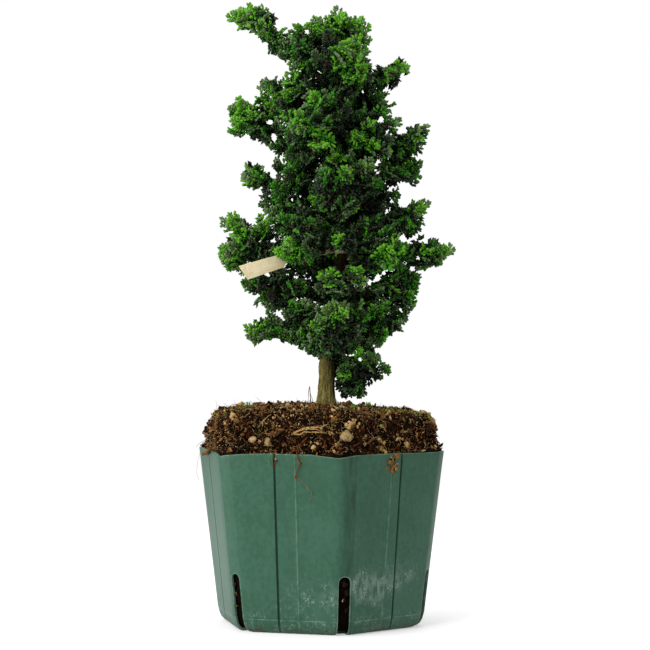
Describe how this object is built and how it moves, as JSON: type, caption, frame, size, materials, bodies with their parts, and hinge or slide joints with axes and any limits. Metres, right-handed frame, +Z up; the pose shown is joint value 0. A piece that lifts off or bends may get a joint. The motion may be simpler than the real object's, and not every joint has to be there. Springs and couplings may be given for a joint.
{
  "type": "potted conifer",
  "caption": "Dwarf conifer with dense lobed foliage on a leaning trunk, standing in its root ball in a cut-down hexagonal plastic nursery pot with slotted corners.",
  "frame": {"origin": "middle of the pot's flat underside, on the ground", "axes": "+Z up along the plant, -Y to the front of the picture, +X to its right"},
  "size_m": [0.1786, 0.1714, 0.4251],
  "materials": {
    "pot": "satin green plastic with pale scuffs",
    "soil": "dark moist soil with pale grains and root threads",
    "bark": "thin brown bark",
    "foliage": "waxy scale leaves, bright at the tips and blue-green inside",
    "tag": "aged cream plastic, bare"
  },
  "bodies": {
    "root": {"pot": "pot", "root_ball": "soil", "trunk": "bark", "name_tag": "tag", "bough_plume": "bark", "bough_top_right": "bark", "bough_left_middle": "bark", "bough_right_middle": "bark", "bough_right_shoulder": "bark", "bough_left_tip": "bark", "bough_right_lower": "bark", "bough_left_low": "bark", "bough_low_right_front": "bark", "bough_right_tip": "bark", "bough_low_right": "bark", "bough_low_left": "bark", "bough_left_arm": "bark", "bough_base_right": "bark", "crown_top": "foliage", "plume": "foliage", "top_left": "foliage", "top_right": "foliage", "upper_front": "foliage", "upper_back": "foliage", "upper_left": "foliage", "upper_right": "foliage", "left_middle": "foliage", "middle_left_front": "foliage", "middle_right": "foliage", "right_middle": "foliage", "right_shoulder": "foliage", "middle_back": "foliage", "left_tip": "foliage", "centre_left": "foliage", "centre_front": "foliage", "centre_right": "foliage", "right_lower": "foliage", "lower_left": "foliage", "lower_back": "foliage", "left_low": "foliage", "low_left_front": "foliage", "low_front": "foliage", "low_right_front": "foliage", "right_tip": "foliage", "low_right": "foliage", "low_back": "foliage", "low_left": "foliage", "front_hollow": "foliage", "base_left": "foliage", "left_arm": "foliage", "base_front": "foliage", "base_right": "foliage", "base_back": "foliage", "skirt_right": "foliage"}
  },
  "joints": []
}
